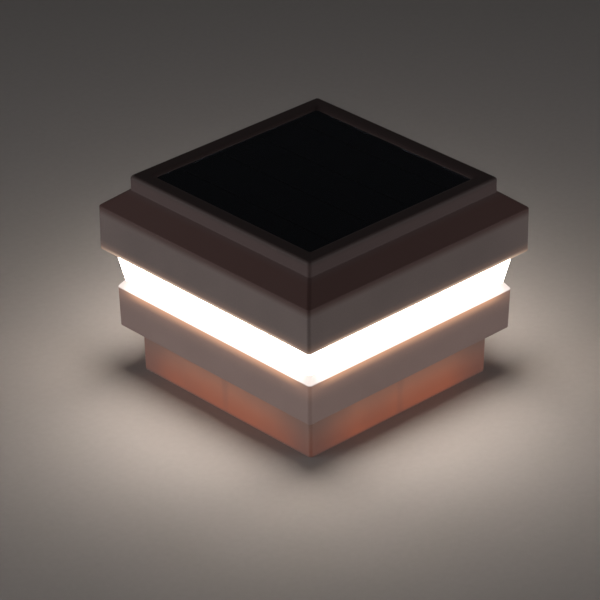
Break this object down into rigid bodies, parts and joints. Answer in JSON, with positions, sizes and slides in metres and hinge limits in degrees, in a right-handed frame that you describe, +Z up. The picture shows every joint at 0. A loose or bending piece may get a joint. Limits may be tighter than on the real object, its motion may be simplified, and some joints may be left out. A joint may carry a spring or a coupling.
{
  "type": "deck post cap light",
  "caption": "Square solar cap light for a deck post: lift-off head with a panel and a frosted light band, on a two-piece base that slips over the post.",
  "frame": {"origin": "on the post's axis, level with the lower rim of the skirt", "axes": "+Z up the post; the sides lie along X and Y; the battery door's hinge is on the -Y side of the cell"},
  "size_m": [0.165, 0.165, 0.12],
  "materials": {
    "body_plastic": "fine moulded texture, warm taupe grey",
    "skirt_plastic": "fine moulded texture, thin wall that light shines through",
    "frosted_lens": "frosted translucent white, lit from inside",
    "panel_glass": "clear cover over black cells",
    "silicon": "dark blue-black wafer",
    "tinned_ribbon": "tinned copper ribbon",
    "white_board": "white solder mask",
    "black_board": "black backsheet",
    "green_board": "green solder mask",
    "seal_rubber": "closed foam and silicone",
    "steel": "zinc-plated screws",
    "nickel": "nickel-plated spring steel",
    "tray_plastic": "white translucent moulding",
    "copper": "enamelled copper wire",
    "black_plastic": "black moulded plastic",
    "white_plastic": "white nylon",
    "cell_wrap": "can in a blue shrink wrap",
    "led_phosphor": "yellow phosphor, lit",
    "wire_red": "red insulation",
    "wire_black": "black insulation"
  },
  "bodies": {
    "base": {"post_skirt": "skirt_plastic", "tier_shell": "body_plastic", "tier_screws": "steel"},
    "head": {"cap_shell": "body_plastic", "panel_gasket": "seal_rubber", "panel_backboard": "black_board", "solar_cells": "silicon", "cell_ribbons": "tinned_ribbon", "panel_cover": "panel_glass", "lens_gasket": "seal_rubber", "diffuser_lens": "frosted_lens", "tray_gasket": "seal_rubber", "light_tray": "tray_plastic", "tray_screws": "steel", "led_board_front": "white_board", "led_board_right": "white_board", "led_board_back": "white_board", "led_board_left": "white_board", "led_chips": "led_phosphor", "control_board": "green_board", "board_screws": "steel", "inductor": "copper", "capacitor": "black_plastic", "driver_chip": "black_plastic", "connectors": "white_plastic", "switch_body": "black_plastic", "battery_cell": "cell_wrap", "battery_spring": "nickel", "spring_plate": "nickel", "contact_plus": "nickel", "door_gasket": "seal_rubber", "lead_grommet": "seal_rubber", "panel_lead_red": "wire_red", "panel_lead_black": "wire_black", "battery_lead_red": "wire_red", "battery_lead_black": "wire_black", "switch_leads": "wire_black", "led_lead": "wire_black", "led_jumpers": "wire_black"},
    "door": {"battery_door": "tray_plastic", "door_screw": "steel"},
    "knob": {"switch_knob": "black_plastic"}
  },
  "joints": [
    {"name": "head_lift", "type": "slide", "parent": "base", "child": "head", "axis": [0, 0, 1], "range_m": [0, 0.1]},
    {"name": "door_hinge", "type": "hinge", "parent": "head", "child": "door", "pos_m": [0, -0.01565, 0.058], "axis": [-1, 0, 0], "range_deg": [0, 95]},
    {"name": "switch_slide", "type": "slide", "parent": "head", "child": "knob", "axis": [1, 0, 0], "range_m": [0, 0.004]}
  ]
}
